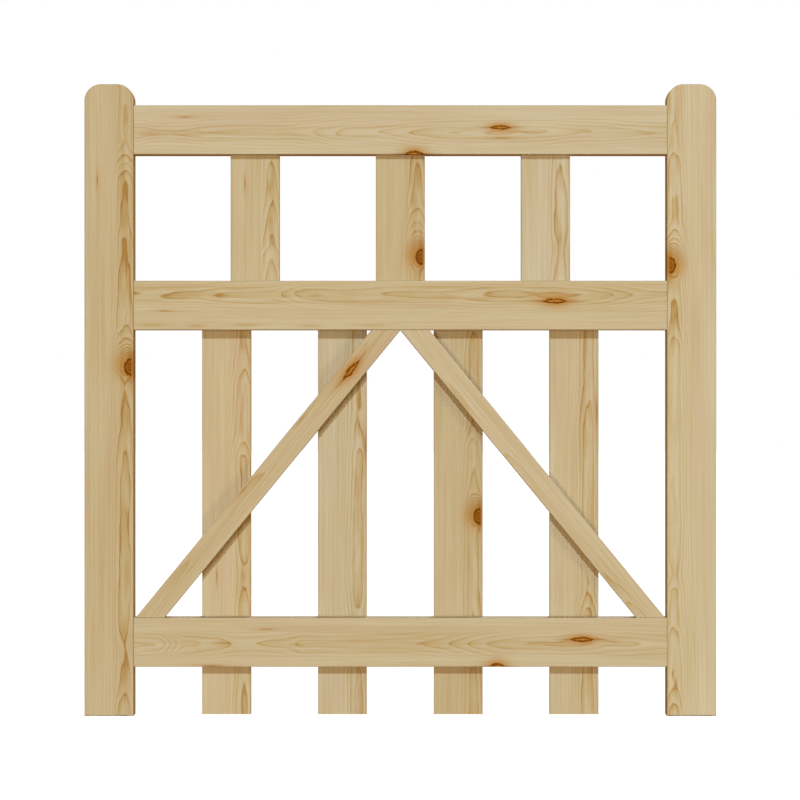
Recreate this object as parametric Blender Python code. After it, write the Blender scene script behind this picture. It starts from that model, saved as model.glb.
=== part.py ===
"""Small framed garden gate leaf in planed softwood.

Two stiles with rounded tops carry three rails on stub tenons, each pinned by a dowel.
Three upper palings are housed between the top and middle rails. Four lower palings are let
into notches in the backs of the middle and bottom rails and run down to the ground line.
Two braces rise from the bottom corners of the frame to the centre of the middle rail.

Metres, +Z up. X runs along the width, the framed side faces -Y, and the origin is at the
bottom centre of the whole leaf.
"""

import math

import bmesh
import bpy
from mathutils import Vector

# Overall size
GATE_WIDTH = 0.900
GATE_HEIGHT = 0.900

# Frame timbers
STILE_WIDTH = 0.070
RAIL_HEIGHT = 0.070
FRAME_THICKNESS = 0.045
STILE_TOP_RADIUS = 0.0235
TOP_RAIL_DROP = 0.030
MIDDLE_RAIL_FOOT = 0.550
BOTTOM_RAIL_FOOT = 0.070

# Stub tenons on the rail ends
TENON_LENGTH = 0.040
TENON_THICKNESS = 0.015
TENON_SHOULDER = 0.010

# Palings
PALING_WIDTH = 0.070
PALING_THICKNESS = 0.020
UPPER_PALING_COUNT = 3
LOWER_PALING_COUNT = 4
HOUSING_DEPTH = 0.015
HOUSING_BACK_WALL = 0.008
NOTCH_STOP = 0.020

# Braces
BRACE_WIDTH = 0.032
BRACE_THICKNESS = 0.032
BRACE_SET_BACK = 0.001
BRACE_STILE_GAP = 0.003

# Wire nails and dowels
NAIL_DIAMETER = 0.00265
NAIL_HEAD_DIAMETER = 0.006
NAIL_HEAD_THICKNESS = 0.0012
NAIL_POINT_LENGTH = 0.004
NAIL_BITE = 0.020
NAIL_PAIR_SPACING = 0.036
SKEW_NAIL_LENGTH = 0.050
SKEW_NAIL_ANGLE = math.radians(60)
SKEW_NAIL_RISE = 0.020
NAIL_COVER = 0.005
DOWEL_DIAMETER = 0.008
DOWEL_COVER = 0.007
DOWEL_CHAMFER = 0.001

# Fits and finish
FIT_GAP = 0.0003
ARRIS_RADIUS = 0.0015
ARRIS_SEGMENTS = 3
TOP_ARC_STEPS = 10
NAIL_SIDES = 10
DOWEL_SIDES = 16
CUT_PAST = 0.002
TINY = 1e-6

# Heights
TOP_RAIL_FOOT = GATE_HEIGHT - TOP_RAIL_DROP - RAIL_HEIGHT
MIDDLE_RAIL_TOP = MIDDLE_RAIL_FOOT + RAIL_HEIGHT
BOTTOM_RAIL_TOP = BOTTOM_RAIL_FOOT + RAIL_HEIGHT
LOWER_PALING_TOP = MIDDLE_RAIL_TOP - NOTCH_STOP
UPPER_PALING_BOTTOM = MIDDLE_RAIL_TOP - HOUSING_DEPTH + FIT_GAP
UPPER_PALING_TOP = TOP_RAIL_FOOT + HOUSING_DEPTH - FIT_GAP

# Widths
HALF_WIDTH = GATE_WIDTH / 2
HALF_OPENING = HALF_WIDTH - STILE_WIDTH

# Depths, from the front of the frame backwards
NOTCH_FLOOR_DEPTH = BRACE_SET_BACK + BRACE_THICKNESS
TOTAL_DEPTH = max(FRAME_THICKNESS, NOTCH_FLOOR_DEPTH + FIT_GAP + PALING_THICKNESS)
FRAME_FRONT = -TOTAL_DEPTH / 2
FRAME_BACK = FRAME_FRONT + FRAME_THICKNESS
FRAME_MIDDLE = FRAME_FRONT + FRAME_THICKNESS / 2
BRACE_FRONT = FRAME_FRONT + BRACE_SET_BACK
BRACE_BACK = BRACE_FRONT + BRACE_THICKNESS
LOWER_PALING_FRONT = BRACE_BACK + FIT_GAP
LOWER_PALING_BACK = LOWER_PALING_FRONT + PALING_THICKNESS
UPPER_PALING_BACK = FRAME_BACK - HOUSING_BACK_WALL
UPPER_PALING_FRONT = UPPER_PALING_BACK - PALING_THICKNESS

# Each brace is cut level against the two rails. Its slope satisfies
# run * sin(slope) - rise * cos(slope) = width.
BRACE_FOOT = BOTTOM_RAIL_TOP + FIT_GAP
BRACE_HEAD = MIDDLE_RAIL_FOOT - FIT_GAP
BRACE_RISE = BRACE_HEAD - BRACE_FOOT
BRACE_RUN = HALF_OPENING - BRACE_STILE_GAP - FIT_GAP / 2
BRACE_SLOPE = math.atan2(BRACE_RISE, BRACE_RUN) + math.asin(
    BRACE_WIDTH / math.hypot(BRACE_RISE, BRACE_RUN)
)
BRACE_LEVEL_WIDTH = BRACE_WIDTH / math.sin(BRACE_SLOPE)

# Wood tones, linear RGB
TONES = {
    "stile_left": (0.565, 0.431, 0.238),
    "stile_right": (0.604, 0.485, 0.302),
    "top_rail": (0.584, 0.448, 0.262),
    "middle_rail": (0.571, 0.434, 0.246),
    "bottom_rail": (0.546, 0.409, 0.219),
    "upper_paling": (0.578, 0.440, 0.246),
    "lower_paling": (0.558, 0.423, 0.233),
    "brace": (0.597, 0.456, 0.266),
    "dowel": (0.610, 0.440, 0.250),
}
ZINC = (0.480, 0.490, 0.500)
WOOD_ROUGHNESS = 0.55
DOWEL_ROUGHNESS = 0.50
ZINC_ROUGHNESS = 0.42

Y_AXIS = Vector((0, 1, 0))


def clear_scene():
    """Remove every object of the open scene."""
    for item in list(bpy.data.objects):
        bpy.data.objects.remove(item, do_unlink=True)


def finish(name, colour, roughness, metallic):
    """One Principled material for one sub-part."""
    material = bpy.data.materials.new(name + "_finish")
    material.use_nodes = True
    shader = material.node_tree.nodes["Principled BSDF"]
    shader.inputs["Base Color"].default_value = (*colour, 1.0)
    shader.inputs["Roughness"].default_value = roughness
    shader.inputs["Metallic"].default_value = metallic
    return material


def place(name, bm, material=None):
    """Put a bmesh into the scene as an object with outward faces."""
    bmesh.ops.recalc_face_normals(bm, faces=bm.faces)
    mesh = bpy.data.meshes.new(name)
    bm.to_mesh(mesh)
    bm.free()
    item = bpy.data.objects.new(name, mesh)
    bpy.context.scene.collection.objects.link(item)
    if material:
        mesh.materials.append(material)
    return item


def loft(bm, loops):
    """Skin a row of equal loops of points into one closed body, capped at both ends."""
    rings = [[bm.verts.new(point) for point in loop] for loop in loops]
    count = len(rings[0])
    for near, far in zip(rings, rings[1:]):
        for i in range(count):
            j = (i + 1) % count
            bm.faces.new((near[i], near[j], far[j], far[i]))
    bm.faces.new(rings[0])
    bm.faces.new(rings[-1])


def timber(name, tone, loops, is_eased):
    """A planed timber, with a rounded arris on every edge that is_eased picks."""
    bm = bmesh.new()
    loft(bm, loops)
    weight = bm.edges.layers.float.new("bevel_weight_edge")
    for edge in bm.edges:
        edge[weight] = 1.0 if is_eased(edge.verts[0].co, edge.verts[1].co) else 0.0
    item = place(name, bm, finish(name, TONES[tone], WOOD_ROUGHNESS, 0.0))
    arris = item.modifiers.new("arris", "BEVEL")
    arris.limit_method = "WEIGHT"
    arris.width = ARRIS_RADIUS
    arris.segments = ARRIS_SEGMENTS
    return item


def upright_section(centre, width, front, back, height):
    """Level rectangular section of an upright timber."""
    left = centre - width / 2
    right = centre + width / 2
    return [(left, front, height), (right, front, height), (right, back, height), (left, back, height)]


def rail_section(across, foot, top, front, back):
    """Rectangular section of a rail at one place along its length."""
    return [(across, front, foot), (across, back, foot), (across, back, top), (across, front, top)]


def box_body(bm, low, high):
    """A closed block between two corners, added to a cutter."""
    near = [(low[0], low[1], low[2]), (high[0], low[1], low[2])]
    near += [(high[0], low[1], high[2]), (low[0], low[1], high[2])]
    far = [(x, high[1], z) for x, y, z in near]
    loft(bm, [near, far])


def turned_body(bm, profile, sides, start, direction):
    """A closed turned body: each (distance, radius) of the profile is one ring along direction."""
    turn = Vector((0, 0, 1)).rotation_difference(direction)
    loops = []
    for distance, radius in profile:
        angles = [2 * math.pi * i / sides for i in range(sides)]
        ring = [Vector((radius * math.cos(a), radius * math.sin(a), distance)) for a in angles]
        loops.append([start + turn @ point for point in ring])
    loft(bm, loops)


def nail_profile(length):
    """A flat-headed wire nail, from the outer face of its head to its point."""
    shank = NAIL_DIAMETER / 2
    head = NAIL_HEAD_DIAMETER / 2
    under_head = NAIL_HEAD_THICKNESS
    rim = NAIL_HEAD_THICKNESS / 4
    return [
        (0.0, head - rim),
        (rim, head),
        (under_head - rim, head),
        (under_head, shank),
        (length - NAIL_POINT_LENGTH, shank),
        (length, shank / 5),
    ]


def nail_hole_profile(length):
    """The sunk seat and the bore that a nail sits in, opened past the surface."""
    bore = NAIL_DIAMETER / 2 + FIT_GAP
    seat = NAIL_HEAD_DIAMETER / 2 + FIT_GAP
    seat_depth = NAIL_HEAD_THICKNESS + FIT_GAP
    return [(-CUT_PAST, seat), (seat_depth, seat), (seat_depth, bore), (length + FIT_GAP, bore)]


def dowel_profile(length):
    """A dowel with a chamfered inner end."""
    radius = DOWEL_DIAMETER / 2
    return [(0.0, radius), (length - DOWEL_CHAMFER, radius), (length, radius - DOWEL_CHAMFER)]


def dowel_hole_profile(length):
    """The stopped hole that a dowel sits in."""
    radius = DOWEL_DIAMETER / 2 + FIT_GAP
    return [(-CUT_PAST, radius), (length + FIT_GAP, radius)]


def smooth(item):
    """Shade a round piece smooth, with its edges kept crisp."""
    item.data.shade_smooth()
    item.data.set_sharp_from_angle(angle=math.radians(35))


def cut(item, name, bm):
    """Cut the closed bodies of a bmesh out of a timber."""
    cutter = place(item.name + "_" + name, bm)
    cutter.hide_render = True
    cutter.display_type = "WIRE"
    boolean = item.modifiers.new(name, "BOOLEAN")
    boolean.operation = "DIFFERENCE"
    boolean.solver = "EXACT"
    boolean.object = cutter


class Fixings:
    """Nails and dowels, with the holes that they need in the timbers."""

    def __init__(self):
        self.holes = {}

    def drive(self, name, kind, start, direction, length, timbers):
        """Make one fixing and note its hole in each timber that it passes through."""
        bm = bmesh.new()
        if kind == "nail":
            turned_body(bm, nail_profile(length), NAIL_SIDES, start, direction)
            material = finish(name, ZINC, ZINC_ROUGHNESS, 1.0)
            hole = (nail_hole_profile(length), NAIL_SIDES, start, direction)
        else:
            turned_body(bm, dowel_profile(length), DOWEL_SIDES, start, direction)
            material = finish(name, TONES["dowel"], DOWEL_ROUGHNESS, 0.0)
            hole = (dowel_hole_profile(length), DOWEL_SIDES, start, direction)
        smooth(place(name, bm, material))
        for item in timbers:
            self.holes.setdefault(item, []).append(hole)

    def bore(self):
        """Cut every noted hole."""
        for item, holes in self.holes.items():
            bm = bmesh.new()
            for hole in holes:
                turned_body(bm, *hole)
            cut(item, "bores", bm)


def spread(count):
    """Centres of evenly spaced palings between the stiles."""
    gap = (2 * HALF_OPENING - count * PALING_WIDTH) / (count + 1)
    first = -HALF_OPENING + gap + PALING_WIDTH / 2
    return [first + i * (PALING_WIDTH + gap) for i in range(count)]


def stile_outline(depth, side):
    """Front view of a stile at one depth: square foot, both top corners rounded to an arc."""
    outer = side * HALF_WIDTH
    inner = side * HALF_OPENING
    left, right = min(outer, inner), max(outer, inner)
    points = [(left, depth, 0.0), (right, depth, 0.0)]
    centre_height = GATE_HEIGHT - STILE_TOP_RADIUS
    quarter = [math.pi / 2 * i / TOP_ARC_STEPS for i in range(TOP_ARC_STEPS + 1)]
    for centre, start in ((right - STILE_TOP_RADIUS, 0.0), (left + STILE_TOP_RADIUS, math.pi / 2)):
        for angle in quarter:
            across = centre + STILE_TOP_RADIUS * math.cos(start + angle)
            height = centre_height + STILE_TOP_RADIUS * math.sin(start + angle)
            points.append((across, depth, height))
    return points


def make_stile(name, side, rail_feet):
    """A stile with a mortise for each rail, its arrises rounded all the way round."""
    loops = [stile_outline(FRAME_FRONT, side), stile_outline(FRAME_BACK, side)]
    item = timber(name, name, loops, lambda a, b: abs(a.y - b.y) < TINY)
    bm = bmesh.new()
    mouth = side * (HALF_OPENING - CUT_PAST)
    floor = side * (HALF_OPENING + TENON_LENGTH + FIT_GAP)
    half = TENON_THICKNESS / 2 + FIT_GAP
    for foot in rail_feet:
        low = (min(mouth, floor), FRAME_MIDDLE - half, foot + TENON_SHOULDER - FIT_GAP)
        high = (max(mouth, floor), FRAME_MIDDLE + half, foot + RAIL_HEIGHT - TENON_SHOULDER + FIT_GAP)
        box_body(bm, low, high)
    cut(item, "mortises", bm)
    return item


def make_rail(name, foot):
    """A rail between the stiles, with a stub tenon at each end."""
    shoulder = HALF_OPENING - FIT_GAP
    end = HALF_OPENING + TENON_LENGTH
    top = foot + RAIL_HEIGHT
    tenon = (
        foot + TENON_SHOULDER,
        top - TENON_SHOULDER,
        FRAME_MIDDLE - TENON_THICKNESS / 2,
        FRAME_MIDDLE + TENON_THICKNESS / 2,
    )
    body = (foot, top, FRAME_FRONT, FRAME_BACK)
    stations = [(-end, tenon), (-shoulder, tenon), (-shoulder, body)]
    stations += [(shoulder, body), (shoulder, tenon), (end, tenon)]
    loops = [rail_section(across, *section) for across, section in stations]

    def along_body(a, b):
        return abs(a.x - b.x) > TINY and max(abs(a.x), abs(b.x)) < shoulder + TINY

    return timber(name, name, loops, along_body)


def make_paling(name, tone, centre, front, back, bottom, top):
    """An upright paling with its four long arrises rounded."""
    loops = [upright_section(centre, PALING_WIDTH, front, back, z) for z in (bottom, top)]
    return timber(name, tone, loops, lambda a, b: abs(a.z - b.z) > TINY)


def brace_outline(depth, side):
    """Front view of a brace at one depth: a parallelogram with level ends."""
    foot = BRACE_RUN + FIT_GAP / 2
    head = FIT_GAP / 2 + BRACE_LEVEL_WIDTH
    return [
        (side * foot, depth, BRACE_FOOT),
        (side * (foot - BRACE_LEVEL_WIDTH), depth, BRACE_FOOT),
        (side * (head - BRACE_LEVEL_WIDTH), depth, BRACE_HEAD),
        (side * head, depth, BRACE_HEAD),
    ]


def brace_centre(side, height):
    """Where the middle line of a brace is at a height."""
    foot = BRACE_RUN + FIT_GAP / 2 - BRACE_LEVEL_WIDTH / 2
    return side * (foot - (height - BRACE_FOOT) / math.tan(BRACE_SLOPE))


def brace_height(side, across):
    """The height at which the middle line of a brace crosses an upright line."""
    foot = BRACE_RUN + FIT_GAP / 2 - BRACE_LEVEL_WIDTH / 2
    return BRACE_FOOT + (foot - side * across) * math.tan(BRACE_SLOPE)


def make_brace(name, side):
    """A brace with its long arrises rounded and its level ends left square."""
    loops = [brace_outline(BRACE_FRONT, side), brace_outline(BRACE_BACK, side)]
    rise = BRACE_HEAD - BRACE_FOOT - TINY
    return timber(name, "brace", loops, lambda a, b: abs(a.z - b.z) > rise)


def cut_housings(rail, centres, mouth, floor):
    """Blind housings for the ends of the upper palings, in the edge of a rail."""
    bm = bmesh.new()
    half = PALING_WIDTH / 2 + FIT_GAP
    for centre in centres:
        low = (centre - half, UPPER_PALING_FRONT - FIT_GAP, min(mouth, floor))
        high = (centre + half, UPPER_PALING_BACK + FIT_GAP, max(mouth, floor))
        box_body(bm, low, high)
    cut(rail, "housings", bm)


def cut_notches(rail, centres, foot, top):
    """Notches in the back of a rail, which the lower palings are let into."""
    bm = bmesh.new()
    half = PALING_WIDTH / 2 + FIT_GAP
    for centre in centres:
        low = (centre - half, FRAME_FRONT + NOTCH_FLOOR_DEPTH, foot)
        box_body(bm, low, (centre + half, FRAME_BACK + CUT_PAST, top))
    cut(rail, "notches", bm)


def dowel_joints(fixings, stiles, rails):
    """One dowel from the back through each tenon, stopped short of the front."""
    length = FRAME_THICKNESS - DOWEL_COVER
    for side, stile in stiles.items():
        for rail, foot in rails:
            across = side * (HALF_OPENING + TENON_LENGTH / 2)
            start = Vector((across, FRAME_BACK, foot + RAIL_HEIGHT / 2))
            name = "dowel_" + rail.name + ("_left" if side < 0 else "_right")
            fixings.drive(name, "dowel", start, -Y_AXIS, length, (stile, rail))


def nail_upper_palings(fixings, palings, centres, top_rail, middle_rail):
    """One nail through the back of each rail into each end of an upper paling."""
    length = FRAME_THICKNESS - NAIL_COVER
    ends = (
        ("top", top_rail, TOP_RAIL_FOOT + HOUSING_DEPTH / 2),
        ("foot", middle_rail, MIDDLE_RAIL_TOP - HOUSING_DEPTH / 2),
    )
    for paling, centre in zip(palings, centres):
        for end, rail, height in ends:
            start = Vector((centre, FRAME_BACK, height))
            fixings.drive(f"nail_{paling.name}_{end}", "nail", start, -Y_AXIS, length, (rail, paling))


def nail_lower_palings(fixings, palings, centres, bottom_rail, middle_rail):
    """A pair of nails through each lower paling into each rail that it crosses."""
    length = PALING_THICKNESS + NAIL_BITE
    crossings = (
        ("low", bottom_rail, BOTTOM_RAIL_FOOT + RAIL_HEIGHT / 2),
        ("high", middle_rail, (MIDDLE_RAIL_FOOT + LOWER_PALING_TOP) / 2),
    )
    for paling, centre in zip(palings, centres):
        for level, rail, height in crossings:
            for hand, offset in (("a", -NAIL_PAIR_SPACING / 2), ("b", NAIL_PAIR_SPACING / 2)):
                start = Vector((centre + offset, LOWER_PALING_BACK, height))
                name = f"nail_{paling.name}_{level}_{hand}"
                fixings.drive(name, "nail", start, -Y_AXIS, length, (paling, rail))


def nail_braces(fixings, braces, palings, centres, bottom_rail, middle_rail):
    """Nail each brace where palings cross it, and skew-nail its two ends into the rails."""
    length = PALING_THICKNESS + NAIL_BITE
    forward = -math.cos(SKEW_NAIL_ANGLE)
    upward = math.sin(SKEW_NAIL_ANGLE)
    ends = (
        ("foot", bottom_rail, BRACE_FOOT + SKEW_NAIL_RISE, -upward),
        ("head", middle_rail, BRACE_HEAD - SKEW_NAIL_RISE, upward),
    )
    for side, brace in braces.items():
        for paling, centre in zip(palings, centres):
            if side * centre > PALING_WIDTH / 2:
                start = Vector((centre, LOWER_PALING_BACK, brace_height(side, centre)))
                name = f"nail_{brace.name}_{paling.name}"
                fixings.drive(name, "nail", start, -Y_AXIS, length, (paling, brace))
        for end, rail, height, vertical in ends:
            entry = height + (SKEW_NAIL_RISE / 2 if vertical > 0 else -SKEW_NAIL_RISE / 2)
            start = Vector((brace_centre(side, entry), BRACE_BACK, height))
            direction = Vector((0, forward, vertical))
            name = f"nail_{brace.name}_{end}"
            fixings.drive(name, "nail", start, direction, SKEW_NAIL_LENGTH, (brace, rail))


def build():
    """Make every timber, cut its joints and drive its fixings."""
    clear_scene()
    feet = (BOTTOM_RAIL_FOOT, MIDDLE_RAIL_FOOT, TOP_RAIL_FOOT)
    stiles = {-1: make_stile("stile_left", -1, feet), 1: make_stile("stile_right", 1, feet)}
    bottom_rail = make_rail("bottom_rail", BOTTOM_RAIL_FOOT)
    middle_rail = make_rail("middle_rail", MIDDLE_RAIL_FOOT)
    top_rail = make_rail("top_rail", TOP_RAIL_FOOT)

    upper_centres = spread(UPPER_PALING_COUNT)
    upper = [
        make_paling(
            f"upper_paling_{i + 1}", "upper_paling", centre,
            UPPER_PALING_FRONT, UPPER_PALING_BACK, UPPER_PALING_BOTTOM, UPPER_PALING_TOP,
        )
        for i, centre in enumerate(upper_centres)
    ]
    lower_centres = spread(LOWER_PALING_COUNT)
    lower = [
        make_paling(
            f"lower_paling_{i + 1}", "lower_paling", centre,
            LOWER_PALING_FRONT, LOWER_PALING_BACK, 0.0, LOWER_PALING_TOP,
        )
        for i, centre in enumerate(lower_centres)
    ]
    braces = {-1: make_brace("brace_left", -1), 1: make_brace("brace_right", 1)}

    cut_housings(top_rail, upper_centres, TOP_RAIL_FOOT - CUT_PAST, TOP_RAIL_FOOT + HOUSING_DEPTH)
    cut_housings(middle_rail, upper_centres, MIDDLE_RAIL_TOP + CUT_PAST, MIDDLE_RAIL_TOP - HOUSING_DEPTH)
    cut_notches(middle_rail, lower_centres, MIDDLE_RAIL_FOOT - CUT_PAST, LOWER_PALING_TOP + FIT_GAP)
    cut_notches(bottom_rail, lower_centres, BOTTOM_RAIL_FOOT - CUT_PAST, BOTTOM_RAIL_TOP + CUT_PAST)

    fixings = Fixings()
    rails = ((bottom_rail, BOTTOM_RAIL_FOOT), (middle_rail, MIDDLE_RAIL_FOOT), (top_rail, TOP_RAIL_FOOT))
    dowel_joints(fixings, stiles, rails)
    nail_upper_palings(fixings, upper, upper_centres, top_rail, middle_rail)
    nail_lower_palings(fixings, lower, lower_centres, bottom_rail, middle_rail)
    nail_braces(fixings, braces, lower, lower_centres, bottom_rail, middle_rail)
    fixings.bore()


build()
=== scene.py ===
"""Finished look of a small framed garden gate leaf in planed softwood.

Every timber and fixing of the frame is drawn again as a finer closed surface in the same place:
boards with rounded arrises and cut joints, ring-gripped nails and fluted dowels. The timber is
one solid log pattern, so that face grain, edge grain and end grain belong together.

Metres in the shapes, millimetres in the grain. X runs along the width, the framed side faces -Y
and +Z is up.
"""

import math

import bmesh
import bpy
import numpy as np
from mathutils import Matrix, Vector


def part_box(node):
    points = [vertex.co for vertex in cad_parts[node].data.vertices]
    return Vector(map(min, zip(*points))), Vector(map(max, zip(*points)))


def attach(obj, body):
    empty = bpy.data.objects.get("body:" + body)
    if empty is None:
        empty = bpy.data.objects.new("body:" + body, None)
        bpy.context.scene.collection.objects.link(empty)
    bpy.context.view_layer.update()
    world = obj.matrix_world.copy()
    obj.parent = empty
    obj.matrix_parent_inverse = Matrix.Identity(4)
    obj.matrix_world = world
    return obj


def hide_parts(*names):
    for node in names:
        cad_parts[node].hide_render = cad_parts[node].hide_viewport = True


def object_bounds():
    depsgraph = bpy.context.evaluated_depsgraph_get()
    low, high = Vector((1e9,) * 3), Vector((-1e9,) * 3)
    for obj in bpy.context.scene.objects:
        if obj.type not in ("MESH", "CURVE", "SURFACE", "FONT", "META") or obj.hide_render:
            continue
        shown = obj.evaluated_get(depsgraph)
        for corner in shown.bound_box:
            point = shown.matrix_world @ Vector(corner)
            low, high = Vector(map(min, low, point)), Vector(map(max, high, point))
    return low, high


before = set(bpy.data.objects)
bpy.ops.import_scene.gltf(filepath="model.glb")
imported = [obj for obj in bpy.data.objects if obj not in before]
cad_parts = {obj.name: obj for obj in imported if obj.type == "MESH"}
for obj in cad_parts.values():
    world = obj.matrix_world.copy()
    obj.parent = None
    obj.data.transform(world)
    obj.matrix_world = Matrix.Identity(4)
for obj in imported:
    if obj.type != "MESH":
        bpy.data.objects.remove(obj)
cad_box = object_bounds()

# Boards
ARRIS_RADIUS = 0.0015
ARRIS_STEPS = 6
SIDE_STEPS = 8
ROW_LENGTH = 0.004
COLUMN_WIDTH = 0.0035
GUARD_STRIP = 0.0006
STILE_TOP_RADIUS = 0.0235
TOP_ARC_STEPS = 24
SURFACE_WAVE = 0.00005

# Joints
TENON_LENGTH = 0.040
TENON_THICKNESS = 0.015
TENON_SHOULDER = 0.010
TENON_ROOT = 0.005
CUT_PAST = 0.002
FIT_GAP = 0.0003
LEAST_ENTRY = 0.001
MIDDLE_SPARE = 0.01

# Nails and dowels
NAIL_RADIUS = 0.001325
NAIL_HEAD_RADIUS = 0.003
NAIL_HEAD_THICKNESS = 0.0012
NAIL_POINT_LENGTH = 0.004
NAIL_SIDES = 32
NAIL_GRIP_START = 0.0030
NAIL_GRIP_PITCH = 0.0012
NAIL_GRIP_COUNT = 6
NAIL_GRIP_DEPTH = 0.00012
SKEW_NAIL_LENGTH = 0.050
SKEW_NAIL_ANGLE = math.radians(60)
SKEW_NAIL_RISE = 0.020
DOWEL_RADIUS = 0.004
DOWEL_SIDES = 144
DOWEL_FLUTES = 24
DOWEL_FLUTE_DEPTH = 0.00012
DOWEL_CHAMFER = 0.001
BORE_SIDES = 32

MM = 1000.0


# Surfaces


def join_bodies(bodies):
    """Put the points and faces of several closed bodies into one pair of lists."""
    points = []
    faces = []
    for body_points, body_faces in bodies:
        first = len(points)
        points += np.asarray(body_points).tolist()
        faces += [[first + corner for corner in face] for face in body_faces]
    return points, faces


def mesh_object(name, points, faces):
    """Make an object at the origin from points and faces, with the faces turned outwards."""
    mesh = bpy.data.meshes.new(name)
    mesh.from_pydata(points, [], faces)
    bm = bmesh.new()
    bm.from_mesh(mesh)
    bmesh.ops.recalc_face_normals(bm, faces=bm.faces)
    bm.to_mesh(mesh)
    bm.free()
    item = bpy.data.objects.new(name, mesh)
    bpy.context.scene.collection.objects.link(item)
    return item


def combine(item, bodies, operation):
    """Cut closed bodies out of an object or add them to it, and keep the result as its mesh."""
    tool = mesh_object(item.name + "_tool", *join_bodies(bodies))
    modifier = item.modifiers.new("joint", "BOOLEAN")
    modifier.operation = operation
    modifier.solver = "EXACT"
    modifier.object = tool
    bpy.context.view_layer.update()
    evaluated = item.evaluated_get(bpy.context.evaluated_depsgraph_get())
    result = bpy.data.meshes.new_from_object(evaluated)
    item.modifiers.clear()
    old = item.data
    item.data = result
    bpy.data.meshes.remove(old)
    bpy.data.objects.remove(tool, do_unlink=True)


def block(low, high):
    """The points and faces of a rectangular block between two corners."""
    corners = np.array([[x, y, z] for x in (0, 1) for y in (0, 1) for z in (0, 1)])
    points = np.asarray(low) + corners * (np.asarray(high) - np.asarray(low))
    faces = [(0, 1, 3, 2), (4, 6, 7, 5), (0, 4, 5, 1), (2, 3, 7, 6), (0, 2, 6, 4), (1, 5, 7, 3)]
    return points, faces


def turned(profile, sides, start, direction, section=None):
    """A closed turned body.

    Ring i stands at start + distance_i * direction and its point at angle a is radius_i away
    from the axis, times section(a, distance_i) where a section is given. Both ends close on a
    single point.
    """
    distance, radius = np.array(profile).T
    angle = np.arange(sides) * 2 * math.pi / sides
    reach = radius[:, None] * np.ones(sides)
    if section is not None:
        reach = reach * section(angle[None, :], distance[:, None])
    turn = np.array(Vector((0, 0, 1)).rotation_difference(Vector(direction)).to_matrix())
    local = np.stack([reach * np.cos(angle), reach * np.sin(angle), distance[:, None] * np.ones(sides)], -1)
    poles = np.array([[0, 0, distance[0]], [0, 0, distance[-1]]])
    points = np.vstack([local.reshape(-1, 3), poles]) @ turn.T + np.array(start)
    rings = len(distance)
    index = np.arange(rings * sides).reshape(rings, sides)
    after = np.roll(index, -1, axis=1)
    quads = np.stack([index[:-1], after[:-1], after[1:], index[1:]], -1).reshape(-1, 4).tolist()
    first = np.stack([index[0], after[0]], -1).tolist()
    last = np.stack([index[-1], after[-1]], -1).tolist()
    faces = quads + [pair + [rings * sides] for pair in first] + [pair + [rings * sides + 1] for pair in last]
    return points, faces


def rim_profile(front, back):
    """Rows of a board's rim from face to face: (share of the arris radius outwards, depth).

    A quarter round from the front face, the flat side, and a quarter round to the back face.
    """
    turn = np.linspace(0, math.pi / 2, ARRIS_STEPS + 1)[1:]
    rise = ARRIS_RADIUS * (1 - np.cos(turn))
    front_round = np.column_stack([np.sin(turn), front + rise])
    side = np.linspace(front + ARRIS_RADIUS, back - ARRIS_RADIUS, SIDE_STEPS + 1)[1:-1]
    flat = np.column_stack([np.ones(len(side)), side])
    back_round = np.column_stack([np.sin(turn), back - rise])[::-1]
    return np.vstack([front_round, flat, back_round])


def board(left, right, left_out, right_out, end_out, front, back):
    """A closed board between two edges.

    left and right hold one (across, along) point for each row. A face point is the straight
    mix of its row's two edge points, both moved inwards by the arris radius. The rim carries
    rim_profile round the outline of the face: each point moves out along its own outward
    vector, which is left_out or right_out on the edges and end_out on the ends.
    """
    width = np.linalg.norm(right[0] - left[0])
    guard = GUARD_STRIP / width
    columns = max(4, round(width / COLUMN_WIDTH))
    share = np.concatenate([[0.0], np.linspace(guard, 1 - guard, columns), [1.0]])
    left_in = left - ARRIS_RADIUS * left_out
    right_in = right - ARRIS_RADIUS * right_out
    face = left_in[:, None] * (1 - share[None, :, None]) + right_in[:, None] * share[None, :, None]
    rows, count = face.shape[:2]

    index = np.arange(rows * count).reshape(rows, count)
    around = np.concatenate([index[0], index[1:, -1], index[-1, -2::-1], index[-2:0:-1, 0]])
    outward = np.zeros((rows, count, 2))
    outward[0] = end_out[0]
    outward[-1] = end_out[1]
    outward[:, 0] = left_out
    outward[:, -1] = right_out
    outward = outward.reshape(-1, 2)[around]
    outline = face.reshape(-1, 2)[around]

    profile = rim_profile(front, back)
    rim = outline[None] + ARRIS_RADIUS * profile[:, 0, None, None] * outward[None]
    rim_depth = np.repeat(profile[:, 1, None], len(around), axis=1)
    flat = face.reshape(-1, 2)
    across = np.concatenate([flat[:, 0], flat[:, 0], rim[..., 0].ravel()])
    along = np.concatenate([flat[:, 1], flat[:, 1], rim[..., 1].ravel()])
    depth = np.concatenate([np.full(len(flat), front), np.full(len(flat), back), rim_depth.ravel()])

    total = rows * count
    loops = [around] + [2 * total + k * len(around) + np.arange(len(around)) for k in range(len(profile))]
    loops = np.array(loops + [total + around])
    near = loops[:-1]
    far = loops[1:]
    rim_faces = np.stack([near, np.roll(near, -1, 1), np.roll(far, -1, 1), far], -1).reshape(-1, 4)
    cells = np.stack([index[:-1, :-1], index[:-1, 1:], index[1:, 1:], index[1:, :-1]], -1).reshape(-1, 4)
    faces = np.vstack([cells, cells + total, rim_faces]).tolist()
    return across, along, depth, faces


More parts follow.
